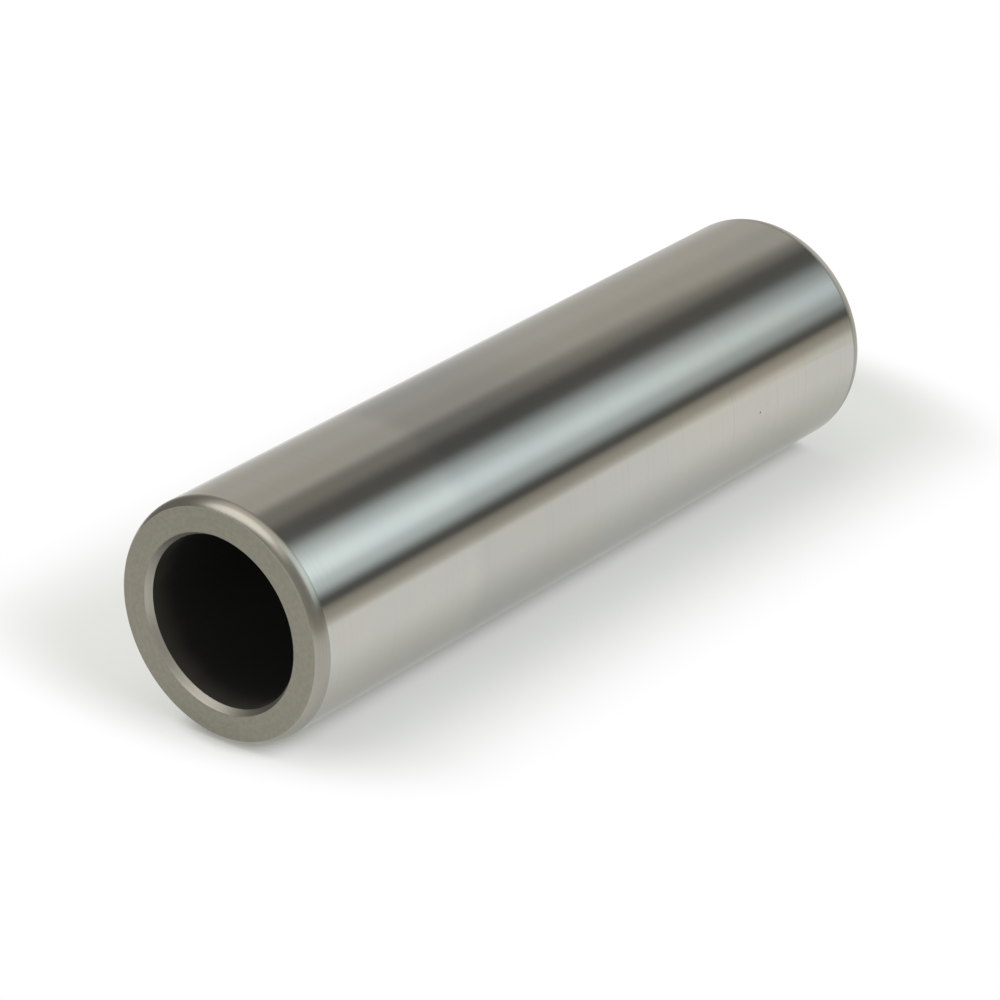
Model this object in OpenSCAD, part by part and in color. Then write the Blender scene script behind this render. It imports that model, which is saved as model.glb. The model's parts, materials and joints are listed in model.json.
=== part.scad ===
// Gudgeon pin: the hollow steel pin that joins a piston to its connecting rod.
// One turned and ground tube, standing on one end. Z runs along its axis and
// z = 0 is the lower end face. Both ends are alike. Sizes are in millimetres.

/* [Barrel] */
// Outside diameter of the ground barrel
barrel_d = 20; // [18:0.5:30]
// Length over both end faces
pin_length = 72; // [40:0.5:110]

/* [Bore] */
// Diameter of the bore that runs right through
bore_d = 14.2; // [8:0.1:16]
// Length of the bevel at each mouth of the bore, along the axis
mouth_length = 0.6; // [0.2:0.1:2]
// Slope of the bevel, away from the axis
mouth_angle = 30; // [15:1:55]

/* [Outer edge] */
// Radius of the rounding where the barrel runs out at each end
edge_radius = 1.9; // [1:0.1:4]
// How far the rounding has come in from the barrel when it meets the end face
edge_drop = 0.48; // [0.2:0.02:0.8]

/* [Hidden] */
$fn = 128;

barrel_r = barrel_d / 2;
bore_r = bore_d / 2;
// Radius of the bore's mouth in the end face
mouth_r = bore_r + mouth_length * tan(mouth_angle);
// Length of the rounding along the axis: its arc is tangent to the barrel
edge_length = sqrt(edge_drop * (2 * edge_radius - edge_drop));
// How far a cutting shape reaches past the metal
overrun = 1;

// Half section of the plain tube: radius along x, height along y
module tube_section() {
    translate([bore_r, 0])
        square([barrel_r - bore_r, pin_length]);
}

// What the rounding takes off the lower outer edge
module edge_waste() {
    translate([barrel_r - edge_radius, edge_length])
        difference() {
            translate([0, -edge_length - overrun])
                square([edge_radius + overrun, edge_length + overrun]);
            circle(r = edge_radius);
        }
}

// What the bevel takes off the lower mouth of the bore
module mouth_waste() {
    polygon([
        [bore_r - overrun, 0],
        [mouth_r, 0],
        [bore_r, mouth_length],
        [bore_r - overrun, mouth_length]
    ]);
}

// The cuts at the lower end
module end_waste() {
    edge_waste();
    mouth_waste();
}

// Half section of the finished wall, cut alike at both ends
module wall_section() {
    difference() {
        tube_section();
        end_waste();
        translate([0, pin_length])
            mirror([0, 1])
                end_waste();
    }
}

module gudgeon_pin() {
    color([0.62, 0.62, 0.59])
        rotate_extrude()
            wall_section();
}

gudgeon_pin();
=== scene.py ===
"""Looks of a gudgeon pin: a ground steel barrel, satin ends and a dark bore, beside a white bench.

The pin stands on its end along +Z. The picture shows such a pin lying down, so the bench is an upright
plane that touches the pin's side, and the camera is turned with it. Lengths are in metres.
"""

import json
import logging
import math
from dataclasses import dataclass
from enum import Enum
from typing import Any, Union

import bmesh
import bpy
from mathutils import Matrix, Vector


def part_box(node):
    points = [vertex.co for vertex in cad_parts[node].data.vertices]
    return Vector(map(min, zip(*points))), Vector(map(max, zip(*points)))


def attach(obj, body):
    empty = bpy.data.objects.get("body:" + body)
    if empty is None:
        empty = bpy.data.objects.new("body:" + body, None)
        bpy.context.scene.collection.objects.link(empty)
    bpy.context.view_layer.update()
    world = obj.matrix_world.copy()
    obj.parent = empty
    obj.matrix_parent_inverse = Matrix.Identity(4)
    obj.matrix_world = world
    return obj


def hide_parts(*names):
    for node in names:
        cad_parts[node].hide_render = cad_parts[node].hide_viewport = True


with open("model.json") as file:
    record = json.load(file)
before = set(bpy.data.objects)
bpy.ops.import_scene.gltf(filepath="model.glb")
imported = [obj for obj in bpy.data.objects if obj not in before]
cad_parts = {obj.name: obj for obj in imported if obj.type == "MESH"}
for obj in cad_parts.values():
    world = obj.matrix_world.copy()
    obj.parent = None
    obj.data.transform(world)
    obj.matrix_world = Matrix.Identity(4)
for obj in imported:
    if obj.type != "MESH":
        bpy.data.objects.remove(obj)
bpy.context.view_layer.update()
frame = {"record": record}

MM = 0.001
NODE = "gudgeon_pin"
BODY = "root"
BAKE_MAP = "OFBake"

Colour = tuple[float, float, float]
Triple = tuple[float, float, float]
Point = tuple[float, float]
Span = tuple[float, float]
Verts = list[bmesh.types.BMVert]

WHITE: Colour = (1.0, 1.0, 1.0)
# What noise varies around
NOISE_MIDDLE = 0.5
# The share of a spot's radius within which it has its full strength
SPOT_CORE = 0.5

log = logging.getLogger("gudgeon_pin")


@dataclass(frozen=True)
class Value:
    """A shader value that takes part in Python expressions, each of which adds a Math node."""

    tree: "ShaderTree"
    socket: bpy.types.NodeSocket

    def __add__(self, other: "Number") -> "Value":
        """The sum of two values."""
        return self.tree.math("ADD", self, other)

    def __radd__(self, other: "Number") -> "Value":
        """The sum, with the number written first."""
        return self.tree.math("ADD", other, self)

    def __sub__(self, other: "Number") -> "Value":
        """The difference of two values."""
        return self.tree.math("SUBTRACT", self, other)

    def __rsub__(self, other: "Number") -> "Value":
        """The difference, with the number written first."""
        return self.tree.math("SUBTRACT", other, self)

    def __mul__(self, other: "Number") -> "Value":
        """The product of two values."""
        return self.tree.math("MULTIPLY", self, other)

    def __rmul__(self, other: "Number") -> "Value":
        """The product, with the number written first."""
        return self.tree.math("MULTIPLY", other, self)


Number = Union[Value, float]


class ShaderTree:
    """A node tree, emptied, with one way to add nodes and short forms for what is used often."""

    def __init__(self, owner: Union[bpy.types.Material, bpy.types.World]) -> None:
        """Takes over the owner's node tree.

        Args:
            owner: The material or world whose nodes are to be made.
        """
        owner.use_nodes = True
        self.tree = owner.node_tree
        self.tree.nodes.clear()

    def add(self, kind: str, settings: dict[str, Any] | None = None,
            inputs: dict[Union[str, int], Any] | None = None) -> bpy.types.Node:
        """Adds one node.

        Args:
            kind: The node's type, such as ShaderNodeMath.
            settings: The node's own settings, set first.
            inputs: Values or links, by the socket's name or number.

        Returns:
            The new node.
        """
        node = self.tree.nodes.new(kind)
        for name, value in (settings or {}).items():
            setattr(node, name, value)
        for key, value in (inputs or {}).items():
            self.feed(node.inputs[key], value)
        return node

    def feed(self, socket: bpy.types.NodeSocket, value: Any) -> None:
        """Links a value to a socket, or sets the socket's own number or colour.

        Args:
            socket: The input to feed.
            value: A Value, an output socket, a number or a colour.
        """
        if isinstance(value, Value):
            self.tree.links.new(value.socket, socket)
        elif isinstance(value, bpy.types.NodeSocket):
            self.tree.links.new(value, socket)
        elif isinstance(value, tuple) and socket.type == "RGBA":
            socket.default_value = (*value, 1.0)
        else:
            socket.default_value = value

    def math(self, operation: str, *terms: Number) -> Value:
        """One Math node on one or two values."""
        node = self.add("ShaderNodeMath", {"operation": operation}, dict(enumerate(terms)))
        return Value(self, node.outputs[0])

    def vector_math(self, operation: str, *terms: Any) -> bpy.types.Node:
        """One Vector Math node."""
        return self.add("ShaderNodeVectorMath", {"operation": operation}, dict(enumerate(terms)))

    def step(self, value: Value, low: float, high: float) -> Value:
        """A smooth step from 0 at low to 1 at high, or the other way round where low is above high.

        Args:
            value: What is compared.
            low: Where the step is 0.
            high: Where the step is 1.

        Returns:
            The step, from 0 to 1.
        """
        inputs = {"Value": value, "From Min": min(low, high), "From Max": max(low, high)}
        node = self.add("ShaderNodeMapRange", {"interpolation_type": "SMOOTHSTEP"}, inputs)
        rise = Value(self, node.outputs["Result"])
        return rise if low < high else 1.0 - rise

    def blend(self, share: Number, first: Any, second: Any) -> bpy.types.NodeSocket:
        """A colour between two colours.

        Args:
            share: How much of the second colour there is, from 0 to 1.
            first: A colour or a colour socket.
            second: A colour or a colour socket.

        Returns:
            The mixed colour's socket.
        """
        node = self.add("ShaderNodeMix", {"data_type": "RGBA"}, {0: share, 6: first, 7: second})
        return node.outputs[2]

    def place(self) -> bpy.types.NodeSocket:
        """The point on the surface, in metres in the pin's own frame."""
        return self.add("ShaderNodeTexCoord").outputs["Object"]

    def along(self, place: bpy.types.NodeSocket, way: Any) -> Value:
        """How far a vector reaches along a direction."""
        return Value(self, self.vector_math("DOT_PRODUCT", place, tuple(way)).outputs["Value"])

    def height(self, place: bpy.types.NodeSocket) -> Value:
        """How far up the pin's axis a point lies."""
        return self.along(place, (0.0, 0.0, 1.0))

    def level(self, place: bpy.types.NodeSocket) -> bpy.types.NodeSocket:
        """The vector from the pin's axis straight out to a point."""
        return self.vector_math("MULTIPLY", place, (1.0, 1.0, 0.0)).outputs[0]

    def radius(self, place: bpy.types.NodeSocket) -> Value:
        """How far a point lies from the pin's axis."""
        return Value(self, self.vector_math("LENGTH", self.level(place)).outputs["Value"])

    def outward(self, place: bpy.types.NodeSocket, way: Any) -> Value:
        """The cosine of the angle round the axis between a point and a direction."""
        return self.along(self.vector_math("NORMALIZE", self.level(place)).outputs[0], way)

    def noise(self, place: bpy.types.NodeSocket, waves: Triple, detail: float = 2.0) -> Value:
        """Noise around one half.

        Args:
            place: The vector that it is read at.
            waves: The length of a wave along each of the vector's axes.
            detail: Octaves of finer noise on top.

        Returns:
            The noise, from about 0.2 to 0.8.
        """
        scaled = self.vector_math("DIVIDE", place, waves).outputs[0]
        node = self.add("ShaderNodeTexNoise", None, {"Vector": scaled, "Scale": 1.0, "Detail": detail})
        return Value(self, node.outputs["Fac"])

    def rings(self, place: bpy.types.NodeSocket, across: Value, pitch: float, run: float) -> Value:
        """Noise in fine lines that run round the axis.

        Args:
            place: The point on the surface.
            across: How far the point lies along the section, across the lines.
            pitch: The width of a line, across it.
            run: How far a line keeps its strength, along it.

        Returns:
            The noise, from about 0.2 to 0.8.
        """
        node = self.add("ShaderNodeCombineXYZ", None, {
            "X": across,
            "Y": self.along(place, (1.0, 0.0, 0.0)),
            "Z": self.along(place, (0.0, 1.0, 0.0)),
        })
        return self.noise(node.outputs[0], (pitch, run, run), detail=3.0)

    def spots(self, place: bpy.types.NodeSocket, spacing: float, radius: float) -> Value:
        """Small spots, few and far between.

        Args:
            place: The point on the surface.
            spacing: About how far the spots' centres lie apart in space.
            radius: The largest radius of a spot. Most centres lie off the surface and leave less.

        Returns:
            The spots, 1 inside and 0 outside.
        """
        scaled = self.vector_math("DIVIDE", place, (spacing, spacing, spacing)).outputs[0]
        cells = self.add("ShaderNodeTexVoronoi", None, {"Vector": scaled, "Scale": 1.0})
        distance = Value(self, cells.outputs["Distance"]) * spacing
        return self.step(distance, radius, radius * SPOT_CORE)

    def bump(self, height: Value, depth: float) -> bpy.types.NodeSocket:
        """A normal that follows small heights, where a height of 1 is this deep."""
        node = self.add("ShaderNodeBump", None, {"Strength": 1.0, "Distance": depth, "Height": height})
        return node.outputs["Normal"]


@dataclass(frozen=True)
class PinSizes:
    """The pin's sizes, read from the frame, and the small roundings that finish its corners."""

    length: float
    barrel_r: float
    bore_r: float
    edge_length: float
    mouth_length: float
    edge_drop: float = 0.48 * MM
    mouth_angle: float = math.radians(30.0)
    corner_r: float = 0.015 * MM

    @classmethod
    def from_frame(cls) -> "PinSizes":
        """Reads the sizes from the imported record's mounts and the node's box.

        Returns:
            The sizes, in metres.
        """
        low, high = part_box(NODE)
        dims = {mount["name"]: mount["dims"] for mount in frame["record"]["mounts"]}
        length = high.z - low.z
        journal, bore = dims["journal"], dims["bore"]
        return cls(
            length=length,
            barrel_r=journal["r_mm"] * MM,
            bore_r=bore["r_mm"] * MM,
            edge_length=(length - journal["length_mm"] * MM) / 2,
            mouth_length=(length - bore["length_mm"] * MM) / 2,
        )

    @property
    def edge_radius(self) -> float:
        """Radius of the outer rounding's arc, which is tangent to the barrel."""
        return (self.edge_length**2 + self.edge_drop**2) / (2 * self.edge_drop)

    @property
    def mouth_r(self) -> float:
        """Radius of the bore's mouth in the end face."""
        return self.bore_r + self.mouth_length * math.tan(self.mouth_angle)


@dataclass(frozen=True)
class BenchFrame:
    """The bench's own directions and the point where the middle of the pin touches it."""

    up: Vector
    far: Vector
    side: Vector
    contact: Vector

    @classmethod
    def beside(cls, pin: PinSizes, azimuth_deg: float) -> "BenchFrame":
        """The bench that touches the pin's side.

        Args:
            pin: The pin's sizes.
            azimuth_deg: Which way the bench faces, as a view's azimuth.

        Returns:
            The bench's frame. Far runs down the pin, away from the end that faces the camera.
        """
        turn = math.radians(azimuth_deg)
        up = Vector((math.sin(turn), -math.cos(turn), 0.0))
        far = Vector((0.0, 0.0, -1.0))
        contact = Vector((0.0, 0.0, pin.length / 2)) - up * pin.barrel_r
        return cls(up, far, far.cross(up), contact)

    def point(self, far: float, side: float, up: float) -> Vector:
        """A point at these distances from the middle of the contact line."""
        return self.contact + self.far * far + self.side * side + self.up * up


@dataclass(frozen=True)
class Finish:
    """A finish of the steel, on a pin of this length. Each kind gives the inputs of its own shader."""

    name: str
    pin_length: float

    def from_middle(self, tree: ShaderTree, place: bpy.types.NodeSocket) -> Value:
        """How far along the axis a point lies from the middle of the pin."""
        return tree.math("ABSOLUTE", tree.height(place) - self.pin_length / 2)

    def surface(self, tree: ShaderTree) -> dict[str, Any]:
        """The shader's inputs, by socket name."""
        raise NotImplementedError

    def material(self) -> bpy.types.Material:
        """Makes the material.

        Returns:
            The material, with this finish's name.
        """
        made = bpy.data.materials.new(self.name)
        tree = ShaderTree(made)
        shader = tree.add("ShaderNodeBsdfPrincipled", None, self.surface(tree))
        tree.add("ShaderNodeOutputMaterial", None, {"Surface": shader.outputs[0]})
        return made


@dataclass(frozen=True)
class PaintedGreyReflection:
    """A painted reflection: a stretch of the barrel that is a little greyer than the rest, most of all on
    one side.

    It sets in and leaves off between two shares of the pin's length each. It has its least strength all
    round and its full strength on its own side, and changes between two cosines of the angle from there.
    """

    sets_in: Span
    leaves_off: Span
    side: Triple
    round_side: Span
    least: float
    full: float

    def share(self, tree: ShaderTree, place: bpy.types.NodeSocket, along: Value) -> Value:
        """How much of the patch there is at a point.

        Args:
            tree: The material's nodes.
            place: The point on the surface.
            along: How far up the pin the point lies, as a share of its length.

        Returns:
            The patch's strength, from 0 to 1.
        """
        stretch = tree.step(along, *self.sets_in) * tree.step(along, *self.leaves_off)
        facing = tree.step(tree.outward(place, self.side), *self.round_side)
        return stretch * (self.least + facing * (self.full - self.least))


@dataclass(frozen=True)
class GroundBarrel(Finish):
    """Ground steel with a soft mirror gloss, faint lines round it, tiny pits and a painted greyer
    reflection.
    """

    warm: Colour = (0.556, 0.537, 0.490)
    cool: Colour = (0.535, 0.530, 0.500)
    reflection_grey: Colour = (0.450, 0.450, 0.432)
    line_shade: Colour = (0.525, 0.512, 0.475)
    pit: Colour = (0.15, 0.145, 0.135)
    grazing: Colour = (0.82, 0.82, 0.82)
    # Painted reflection: greyer over part of the length, strongest on the side that faces up from the
    # bench
    patch: PaintedGreyReflection = PaintedGreyReflection(
        sets_in=(0.44, 0.62),
        leaves_off=(0.75, 0.715),
        side=(0.7071, -0.7071, 0.0),
        round_side=(0.55, 1.0),
        least=0.40,
        full=0.90,
    )
    roughness: float = 0.135
    line_roughness: float = 0.03
    pit_roughness: float = 0.25
    brushed: float = 0.6
    quarter_turn: float = 0.25
    line_pitch: float = 0.16 * MM
    line_run: float = 22.0 * MM
    line_depth: float = 0.0005 * MM
    line_span: Span = (0.5, 0.8)
    cloud: float = 16.0 * MM
    cloud_span: Span = (0.38, 0.62)
    pit_spacing: float = 5.0 * MM
    pit_radius: float = 0.12 * MM

    def surface(self, tree: ShaderTree) -> dict[str, Any]:
        """The look of the barrel. A span holds the noise values between which one colour turns to another.

        Args:
            tree: The material's nodes.

        Returns:
            The shader's inputs, by socket name.
        """
        place = tree.place()
        height = tree.height(place)
        lines = tree.rings(place, height, self.line_pitch, self.line_run)
        clouds = tree.noise(place, (self.cloud, self.cloud, self.cloud))
        pits = tree.spots(place, self.pit_spacing, self.pit_radius)
        along = height * (1.0 / self.pin_length)
        steel = tree.blend(tree.step(clouds, *self.cloud_span), self.warm, self.cool)
        steel = tree.blend(tree.step(lines, *self.line_span), steel, self.line_shade)
        # Painted reflection: the greyer stretch, strongest on the side that faces up from the bench
        steel = tree.blend(self.patch.share(tree, place, along), steel, self.reflection_grey)
        grain = (lines - NOISE_MIDDLE) * self.line_roughness
        return {
            "Base Color": tree.blend(pits, steel, self.pit),
            "Metallic": 1.0,
            "Roughness": self.roughness + grain + pits * self.pit_roughness,
            "Anisotropic": self.brushed,
            "Anisotropic Rotation": self.quarter_turn,
            "Specular Tint": self.grazing,
            "Normal": tree.bump(lines, self.line_depth),
        }


@dataclass(frozen=True)
class TurnedSteel(Finish):
    """Satin steel of the ends, with fine turned lines round the axis and an even grain."""

    light: Colour = (0.385, 0.371, 0.327)
    dark: Colour = (0.358, 0.345, 0.303)
    grazing: Colour = (0.88, 0.88, 0.88)
    roughness: float = 0.25
    line_roughness: float = 0.05
    line_pitch: float = 0.11 * MM
    line_run: float = 9.0 * MM
    line_depth: float = 0.0004 * MM
    grain: float = 0.35 * MM
    grain_share: float = 0.3
    mixed_span: Span = (0.36, 0.64)

    def surface(self, tree: ShaderTree) -> dict[str, Any]:
        """The look of a turned end.

        Args:
            tree: The material's nodes.

        Returns:
            The shader's inputs, by socket name.
        """
        place = tree.place()
        across = tree.radius(place) - self.from_middle(tree, place)
        lines = tree.rings(place, across, self.line_pitch, self.line_run)
        grain = tree.noise(place, (self.grain, self.grain, self.grain), detail=3.0)
        mixed = grain * self.grain_share + lines * (1.0 - self.grain_share)
        return {
            "Base Color": tree.blend(tree.step(mixed, *self.mixed_span), self.dark, self.light),
            "Metallic": 1.0,
            "Roughness": self.roughness + (mixed - NOISE_MIDDLE) * self.line_roughness,
            "Specular Tint": self.grazing,
            "Normal": tree.bump(mixed, self.line_depth),
        }


@dataclass(frozen=True)
class DarkBore(Finish):
    """The black scale that heat treatment leaves in the bore, a little paler toward its mouths."""

    scale: Colour = (0.021, 0.021, 0.020)
    bare: Colour = (0.070, 0.067, 0.058)
    gloss: float = 0.35
    roughness: float = 0.46
    patch_roughness: float = 0.15
    patch: float = 2.2 * MM
    streak: float = 9.0 * MM
    grit: float = 0.3 * MM
    grit_depth: float = 0.006 * MM
    pale_mouth_length: float = 4.0 * MM
    patch_share: float = 0.3
    pale_mouth_share: float = 0.6
    paler_span: Span = (0.15, 0.90)

    def surface(self, tree: ShaderTree) -> dict[str, Any]:
        """The look of the bore.

        Args:
            tree: The material's nodes.

        Returns:
            The shader's inputs, by socket name.
        """
        place = tree.place()
        half = self.pin_length / 2
        patches = tree.noise(place, (self.patch, self.patch, self.streak), detail=4.0)
        grit = tree.noise(place, (self.grit, self.grit, self.grit))
        # Paler within a few millimetres of each mouth, darker deeper in
        toward_mouth = tree.step(self.from_middle(tree, place), half - self.pale_mouth_length, half)
        paler = tree.step(patches * self.patch_share + toward_mouth * self.pale_mouth_share, *self.paler_span)
        return {
            "Base Color": tree.blend(paler, self.scale, self.bare),
            "Specular IOR Level": self.gloss,
            "Roughness": self.roughness + (patches - NOISE_MIDDLE) * self.patch_roughness,
            "Normal": tree.bump(grit, self.grit_depth),
        }


class Zone(Enum):
    """The finishes round the pin's section, by material slot number."""

    BARREL = 0
    EDGE = 1
    FACE = 2
    MOUTH = 3
    BORE = 4

    @property
    def bake_share(self) -> float:
        """How much room a length of this zone gets in the bake's map, beside the barrel."""
        shares = {Zone.BARREL: 1.0, Zone.EDGE: 2.0, Zone.FACE: 2.0, Zone.MOUTH: 2.0, Zone.BORE: 0.25}
        return shares[self]


@dataclass(frozen=True)
class Ring:
    """A ring of the skin. Facing is its normal's angle: 0 is outward, minus a quarter turn is down."""

    r: float
    z: float
    facing: float
    zone: Zone

    def mirrored(self, length: float, zone: Zone) -> "Ring":
        """The same ring at the other end, with the finish of the stretch that follows it there."""
        return Ring(self.r, length - self.z, -self.facing, zone)


@dataclass
class GudgeonPin:
    """The pin itself, turned as one closed skin from its section."""

    sizes: PinSizes
    segments: int = 256
    edge_steps: int = 24
    corner_steps: int = 2
    long_steps: int = 16
    bake_margin: float = 0.004

    def arc(self, centre: Point, radius: float, start: float, stop: float, steps: int,
            zone: Zone) -> list[Ring]:
        """A round stretch of the section.

        Args:
            centre: The arc's centre, as radius and height.
            radius: The arc's radius.
            start: The facing at the arc's start.
            stop: The facing at the arc's end.
            steps: How many bands it has.
            zone: Its finish.

        Returns:
            The arc's rings, in order.
        """
        rings = []
        for i in range(steps + 1):
            facing = start + (stop - start) * i / steps
            r = centre[0] + radius * math.cos(facing)
            z = centre[1] + radius * math.sin(facing)
            rings.append(Ring(r, z, facing, zone))
        return rings

    def corner(self, place: Point, before: float, after: float, zone: Zone) -> list[Ring]:
        """A small rounding between two straight stretches.

        Args:
            place: The sharp corner, as radius and height.
            before: The facing of the stretch before it.
            after: The facing of the stretch after it.
            zone: Its finish, and that of the stretch after it.

        Returns:
            The corner's rings, in order.
        """
        inward = self.sizes.corner_r / (1 + math.cos(after - before))
        centre = (place[0] - inward * (math.cos(before) + math.cos(after)),
                  place[1] - inward * (math.sin(before) + math.sin(after)))
        return self.arc(centre, self.sizes.corner_r, before, after, self.corner_steps, zone)

    def edge(self) -> list[Ring]:
        """The rounding from the end face to the barrel, with the small corner where it leaves the face.

        Returns:
            The rings, in order.
        """
        s = self.sizes
        centre_r = s.barrel_r - s.edge_radius
        reach = s.edge_radius - s.corner_r
        corner_r = centre_r + math.sqrt(reach**2 - (s.edge_length - s.corner_r) ** 2)
        meets = math.atan2(s.corner_r - s.edge_length, corner_r - centre_r)
        foot = -math.pi / 2
        corner = self.arc((corner_r, s.corner_r), s.corner_r, foot, meets, self.corner_steps, Zone.EDGE)
        centre = (centre_r, s.edge_length)
        round_edge = self.arc(centre, s.edge_radius, meets, 0.0, self.edge_steps, Zone.EDGE)
        return corner[:-1] + round_edge

    def straight(self, r: float, start: float, stop: float, facing: float, zone: Zone) -> list[Ring]:
        """Even rings along a long straight stretch, without its last one."""
        step = (stop - start) / self.long_steps
        return [Ring(r, start + step * i, facing, zone) for i in range(self.long_steps)]

    def lower_half(self) -> list[Ring]:
        """The section's lower half, from the middle of the bore round to the middle of the barrel.

        Returns:
            The rings, each with the finish of the stretch after it.
        """
        s = self.sizes
        inward, foot = -math.pi, -math.pi / 2
        bevel = inward + s.mouth_angle
        bore = self.straight(s.bore_r, s.length / 2, s.mouth_length + s.corner_r, inward, Zone.BORE)
        throat = self.corner((s.bore_r, s.mouth_length), inward, bevel, Zone.MOUTH)
        mouth = self.corner((s.mouth_r, 0.0), bevel, foot, Zone.FACE)
        edge = self.edge()
        barrel = self.straight(s.barrel_r, s.edge_length, s.length / 2, 0.0, Zone.BARREL)
        middle = Ring(s.barrel_r, s.length / 2, 0.0, Zone.BARREL)
        return [*bore, *throat, *mouth, *edge[:-1], *barrel, middle]

    def section(self) -> list[Ring]:
        """The whole section as a closed run: the lower half, then its mirror image.

        Returns:
            The rings, each with the finish of the stretch after it.
        """
        lower = self.lower_half()
        upper = []
        for i in range(len(lower) - 2, 0, -1):
            upper.append(lower[i].mirrored(self.sizes.length, lower[i - 1].zone))
        lower[-1] = Ring(lower[-1].r, lower[-1].z, lower[-1].facing, lower[-2].zone)
        return lower + upper

    def build(self) -> bpy.types.Object:
        """Turns the section into one closed mesh with true normals and a map for baking.

        Returns:
            The pin's object.
        """
        rings = self.section()
        heights = self.bake_heights(rings)
        mesh = bpy.data.meshes.new("gudgeon_pin_skin")
        work = bmesh.new()
        bake = work.loops.layers.uv.new(BAKE_MAP)
        made = [self.ring(work, ring) for ring in rings]
        for i, ring in enumerate(rings):
            self.band(work, bake, made[i], made[(i + 1) % len(made)], ring.zone, heights[i:i + 2])
        work.to_mesh(mesh)
        work.free()
        mesh.normals_split_custom_set_from_vertices([n for ring in rings for n in self.normals(ring)])
        pin = bpy.data.objects.new("ground_pin", mesh)
        bpy.context.scene.collection.objects.link(pin)
        return pin

    def turns(self) -> list[float]:
        """The angles round the axis at which a ring has its points."""
        return [2 * math.pi * i / self.segments for i in range(self.segments)]

    def ring(self, work: bmesh.types.BMesh, ring: Ring) -> Verts:
        """The points of one ring."""
        return [work.verts.new((ring.r * math.cos(t), ring.r * math.sin(t), ring.z)) for t in self.turns()]

    def normals(self, ring: Ring) -> list[Vector]:
        """The true normals at the points of one ring."""
        out, up = math.cos(ring.facing), math.sin(ring.facing)
        return [Vector((out * math.cos(t), out * math.sin(t), up)) for t in self.turns()]

    def bake_heights(self, rings: list[Ring]) -> list[float]:
        """How far up the bake's map each ring lies, with one more for the closing one.

        Args:
            rings: The section's rings, in order.

        Returns:
            The heights, from 0 to 1.
        """
        heights = [0.0]
        for first, second in zip(rings, rings[1:] + rings[:1]):
            length = math.hypot(second.r - first.r, second.z - first.z)
            heights.append(heights[-1] + length * first.zone.bake_share)
        return [height / heights[-1] for height in heights]

    def band(self, work: bmesh.types.BMesh, bake: Any, first: Verts, second: Verts, zone: Zone,
             heights: list[float]) -> None:
        """The faces between two rings.

        Args:
            work: The mesh in the making.
            bake: Its map for baking.
            first: The points of the first ring.
            second: The points of the second ring.
            zone: The band's finish.
            heights: How far up the map the two rings lie.
        """
        room = 1 - 2 * self.bake_margin
        low, high = (self.bake_margin + room * height for height in heights)
        for i in range(self.segments):
            j = (i + 1) % self.segments
            left, right = (self.bake_margin + room * k / self.segments for k in (i, i + 1))
            face = work.faces.new((first[i], first[j], second[j], second[i]))
            face.smooth = True
            face.material_index = zone.value
            for loop, spot in zip(face.loops, ((left, low), (right, low), (right, high), (left, high))):
                loop[bake].uv = spot

    def dress(self, pin: bpy.types.Object) -> None:
        """Gives the pin its finishes, in the order of the zones.

        Args:
            pin: The pin's object.
        """
        length = self.sizes.length
        finishes = {
            Zone.BARREL: GroundBarrel("ground_barrel", length),
            Zone.EDGE: TurnedSteel("turned_edge", length),
            Zone.FACE: TurnedSteel(
                "satin_face",
                length,
                light=(0.278, 0.265, 0.217),
                dark=(0.245, 0.233, 0.190),
                roughness=0.42,
                line_depth=0.0012 * MM,
                grain_share=0.6,
            ),
            Zone.MOUTH: TurnedSteel(
                "mouth_bevel",
                length,
                light=(0.53, 0.510, 0.450),
                dark=(0.49, 0.471, 0.416),
                roughness=0.43,
            ),
            Zone.BORE: DarkBore("dark_bore", length),
        }
        for zone in Zone:
            pin.data.materials.append(finishes[zone].material())

    def place(self, pin: bpy.types.Object) -> None:
        """Puts the pin in the place of the plain solid.

        Args:
            pin: The pin's object.
        """
        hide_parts(NODE)
        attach(pin, BODY)


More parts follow.
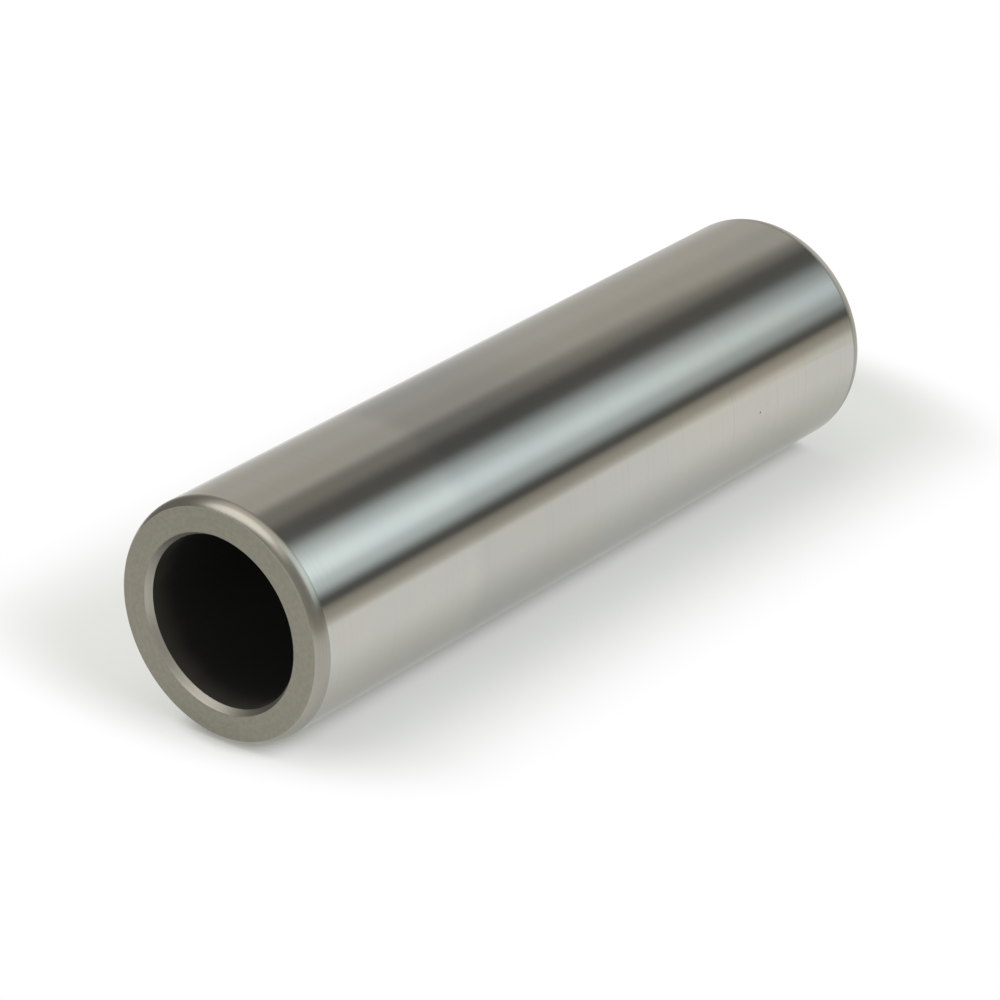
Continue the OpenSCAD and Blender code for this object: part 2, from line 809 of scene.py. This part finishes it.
@dataclass(frozen=True)
class Bench:
    """The white bench: a plain sheet that shows from its front only.

    Its paper glows, where the camera or the steel sees it: by the lift near the pin, and rising to white
    further off.
    Close to the line of contact the camera sees no glow, which deepens the pin's real shadow there with
    painted shade. The painted shadow that stays round the pin is shifted, toward the far end and away from
    the camera's side.
    """

    frame: BenchFrame
    pin: PinSizes
    half_width: float = 0.075
    white: Colour = (0.70, 0.728, 0.676)
    lift: float = 0.45
    lift_start: float = 1.8 * MM
    lift_full: float = 6.0 * MM
    lift_past_end: float = 2.2
    white_start: float = 14.5 * MM
    white_full: float = 29.0 * MM
    white_past_end: float = 2.0
    white_shift: Point = (8.0 * MM, -6.5 * MM)
    steel_white: float = 0.7

    def build(self) -> bpy.types.Object:
        """Makes the sheet and its finish.

        Returns:
            The bench's object.
        """
        mesh = bpy.data.meshes.new("bench_sheet")
        w = self.half_width
        corners = [(-w, w), (w, w), (w, -w), (-w, -w)]
        mesh.from_pydata([self.frame.point(far, side, 0.0) for far, side in corners], [], [(0, 1, 2, 3)])
        sheet = bpy.data.objects.new("bench", mesh)
        sheet.data.materials.append(self.material())
        bpy.context.scene.collection.objects.link(sheet)
        return sheet

    def gap(self, tree: ShaderTree, shift: Point, past_end: float) -> Value:
        """How far a point of the sheet lies from the line of contact.

        Args:
            tree: The sheet's nodes.
            shift: How far the line is moved for this, toward the far end and toward the camera's side.
            past_end: How many times faster the distance is counted past the line's ends.

        Returns:
            The distance.
        """
        place = tree.place()
        half = self.pin.length / 2 - self.pin.edge_length
        side = tree.along(place, self.frame.side) - shift[1]
        far = tree.along(place, self.frame.far) - (self.frame.contact.dot(self.frame.far) + shift[0])
        past = tree.math("MAXIMUM", tree.math("ABSOLUTE", far) - half, 0.0) * past_end
        return tree.math("SQRT", side * side + past * past)

    def material(self) -> bpy.types.Material:
        """White paper with the pin's real shadow on it, and a painted shadow where its glow is held back.

        Returns:
            The sheet's material, which is clear from behind.
        """
        made = bpy.data.materials.new("bench_white")
        tree = ShaderTree(made)
        path = tree.add("ShaderNodeLightPath")
        camera, steel = (Value(tree, path.outputs[name]) for name in ("Is Camera Ray", "Is Glossy Ray"))
        near_gap = self.gap(tree, (0.0, 0.0), self.lift_past_end)
        wide_gap = self.gap(tree, self.white_shift, self.white_past_end)
        # Painted shadow: the glow is held back near the contact line, and round a shifted line further out
        near = tree.step(near_gap, self.lift_start, self.lift_full)
        wide = tree.step(wide_gap, self.white_start, self.white_full)
        lift = (camera * near + steel) * self.lift
        white = (camera + steel * self.steel_white) * wide * (1.0 - self.lift)
        paper = tree.add("ShaderNodeBsdfDiffuse", None, {"Color": self.white})
        glow = tree.add("ShaderNodeEmission", None, {"Color": WHITE, "Strength": 1.0})
        lit = tree.add("ShaderNodeMixShader", None, {
            0: lift + white,
            1: paper.outputs[0],
            2: glow.outputs[0],
        })
        back = tree.add("ShaderNodeNewGeometry")
        clear = tree.add("ShaderNodeBsdfTransparent")
        sided = tree.add("ShaderNodeMixShader", None, {
            0: back.outputs["Backfacing"],
            1: lit.outputs[0],
            2: clear.outputs[0],
        })
        tree.add("ShaderNodeOutputMaterial", None, {"Surface": sided.outputs[0]})
        return made


@dataclass(frozen=True)
class Glow:
    """A soft light or wall in the studio's sky, by angles in degrees.

    Around is the angle round the pin's axis, from straight above the bench toward the camera's side, and
    off_axis the angle from the far end of the axis. Each is where the light starts, is full, starts to
    fade and has gone. None leaves that angle free.
    """

    colour: Colour
    around: tuple[float, float, float, float] | None = None
    off_axis: tuple[float, float, float, float] | None = None


@dataclass(frozen=True)
class StudioSky:
    """The room round the bench: dim walls, soft lights, and plain white where the camera looks past it.

    Each glow covers those before it. The back is the side away from the camera's side.
    """

    frame: BenchFrame
    gloom: Colour = (0.100, 0.100, 0.095)
    glows: tuple[Glow, ...] = (
        # Ceiling from overhead to the near end
        Glow((0.38, 0.37, 0.35), (-62.0, -28.0, 100.0, 130.0), (56.0, 86.0, 180.0, 181.0)),
        # Wall along the back
        Glow((0.28, 0.27, 0.25), (-120.0, -100.0, -60.0, -40.0), (50.0, 60.0, 128.0, 140.0)),
        # Wall beyond the far end, toward the back: dark upper border, field, warmer part near the axis
        Glow((0.245, 0.237, 0.217), (-160.0, -150.0, -7.0, 7.0), (0.0, 1.0, 50.0, 58.0)),
        Glow((0.61, 0.595, 0.558), (-160.0, -150.0, -30.0, -12.5), (0.0, 1.0, 48.0, 60.0)),
        Glow((0.63, 0.60, 0.535), (-160.0, -150.0, -22.0, -4.0), (0.0, 1.0, 39.0, 44.0)),
        # A greyer stripe on that wall, and its pale foot
        Glow((0.535, 0.515, 0.475), (-58.0, -36.0, -30.0, -18.0), (0.0, 1.0, 48.0, 60.0)),
        Glow((0.76, 0.75, 0.715), (-181.0, -180.0, -103.0, -72.0), (0.0, 1.0, 48.0, 60.0)),
        # White wall straight past the far end
        Glow((1.00, 1.00, 0.97), None, (-2.0, -1.0, 24.0, 37.0)),
        # Soft light overhead
        Glow((0.97, 0.945, 0.88), (-62.0, -30.0, 24.0, 40.0), (50.0, 62.0, 103.0, 118.0)),
        # Cool window on the camera's side, and its bright middle
        Glow((1.24, 1.42, 1.48), (15.0, 36.0, 65.0, 79.0), (24.0, 68.0, 72.0, 86.0)),
        Glow((1.51, 1.73, 1.81), (31.0, 49.0, 51.0, 66.0), (24.0, 68.0, 72.0, 86.0)),
        # Soft light that faces the near end
        Glow((2.00, 2.00, 1.96), (-125.0, -95.0, 75.0, 105.0), (126.0, 150.0, 180.0, 181.0)),
        # Ground on the camera's side, paler step by step downward
        Glow((0.38, 0.36, 0.315), (81.0, 87.5, 180.0, 181.0), None),
        Glow((0.475, 0.45, 0.395), (86.5, 92.0, 180.0, 181.0), None),
        Glow((0.87, 0.865, 0.79), (92.0, 104.0, 180.0, 181.0), None),
        # Ground at the back
        Glow((0.85, 0.85, 0.83), (-181.0, -180.0, -135.0, -105.0), None),
    )

    def build(self) -> None:
        """Makes the world and sets it on the scene."""
        world = bpy.data.worlds.new("studio")
        bpy.context.scene.world = world
        tree = ShaderTree(world)
        way = tree.add("ShaderNodeTexCoord").outputs["Generated"]
        around = tree.math("ARCTAN2", tree.along(way, self.frame.side), tree.along(way, self.frame.up))
        off_axis = tree.math("ARCCOSINE", tree.along(way, self.frame.far))
        angles = [tree.math("DEGREES", angle) for angle in (around, off_axis)]
        sky: Any = self.gloom
        for glow in self.glows:
            share: Number = 1.0
            for angle, window in zip(angles, (glow.around, glow.off_axis)):
                if window:
                    start, full, fades, gone = window
                    share = share * tree.step(angle, start, full) * tree.step(angle, gone, fades)
            sky = tree.blend(share, sky, glow.colour)
        room = tree.add("ShaderNodeBackground", None, {"Color": sky})
        white = tree.add("ShaderNodeBackground", None, {"Color": WHITE})
        path = tree.add("ShaderNodeLightPath")
        shown = tree.add("ShaderNodeMixShader", None, {
            0: path.outputs["Is Camera Ray"],
            1: room.outputs[0],
            2: white.outputs[0],
        })
        tree.add("ShaderNodeOutputWorld", None, {"Surface": shown.outputs[0]})


@dataclass(frozen=True)
class Lamp:
    """An oval soft lamp that looks at the middle of the contact line, with its width across the pin."""

    name: str
    far: float
    side: float
    up: float
    width: float
    depth: float
    watts: float
    colour: Colour = WHITE

    def build(self, bench: BenchFrame) -> bpy.types.Object:
        """Hangs the lamp over the bench.

        Args:
            bench: The frame that the lamp's place is given in.

        Returns:
            The lamp's object.
        """
        data = bpy.data.lights.new(self.name, "AREA")
        data.shape = "ELLIPSE"
        data.size = self.width
        data.size_y = self.depth
        data.energy = self.watts
        data.color = self.colour
        lamp = bpy.data.objects.new(self.name, data)
        lamp.location = bench.point(self.far, self.side, self.up)
        lamp.rotation_mode = "QUATERNION"
        lamp.rotation_quaternion = (bench.contact - lamp.location).to_track_quat("-Z", "Y")
        lamp.visible_camera = False
        bpy.context.scene.collection.objects.link(lamp)
        return lamp


@dataclass(frozen=True)
class PhotoCamera:
    """The camera's stand over the bench. Its turn is measured from the pin's near end, toward the side."""

    frame: BenchFrame
    pin: PinSizes
    elevation_deg: float = 25.52
    turn_deg: float = 37.92
    distance: float = 363.8 * MM
    aim_right: float = -0.9 * MM
    aim_up: float = -2.84 * MM
    lens_mm: float = 161.8
    sensor_mm: float = 36.0

    def build(self) -> bpy.types.Object:
        """Makes the camera and sets it on the scene.

        Returns:
            The camera's object.
        """
        turn, rise = math.radians(self.turn_deg), math.radians(self.elevation_deg)
        level = self.frame.side * math.sin(turn) - self.frame.far * math.cos(turn)
        back = level * math.cos(rise) + self.frame.up * math.sin(rise)
        right = self.frame.up.cross(back).normalized()
        above = back.cross(right)
        data = bpy.data.cameras.new("photo_camera")
        data.lens = self.lens_mm
        data.sensor_width = self.sensor_mm
        camera = bpy.data.objects.new("photo_camera", data)
        middle = self.frame.contact + self.frame.up * self.pin.barrel_r
        place = middle + right * self.aim_right + above * self.aim_up + back * self.distance
        turned = Matrix((right, above, back)).transposed().to_4x4()
        camera.matrix_world = Matrix.Translation(place) @ turned
        bpy.context.scene.collection.objects.link(camera)
        bpy.context.scene.camera = camera
        return camera


def main() -> None:
    """Builds the camera, the studio and the pin, in that order."""
    logging.basicConfig(level=logging.INFO, format="%(name)s: %(message)s")
    bpy.context.scene.view_settings.view_transform = "Standard"
    sizes = PinSizes.from_frame()
    bench_frame = BenchFrame.beside(sizes, azimuth_deg=45.0)
    PhotoCamera(bench_frame, sizes).build()
    Bench(bench_frame, sizes).build()
    StudioSky(bench_frame).build()
    Lamp("overhead", far=-0.07, side=-0.115, up=0.5, width=0.64, depth=0.30, watts=0.40).build(bench_frame)
    pin = GudgeonPin(sizes)
    skin = pin.build()
    pin.dress(skin)
    pin.place(skin)
    log.info("%s: %d faces, %d finishes", skin.name, len(skin.data.polygons), len(skin.data.materials))


if __name__ == "__main__":
    main()
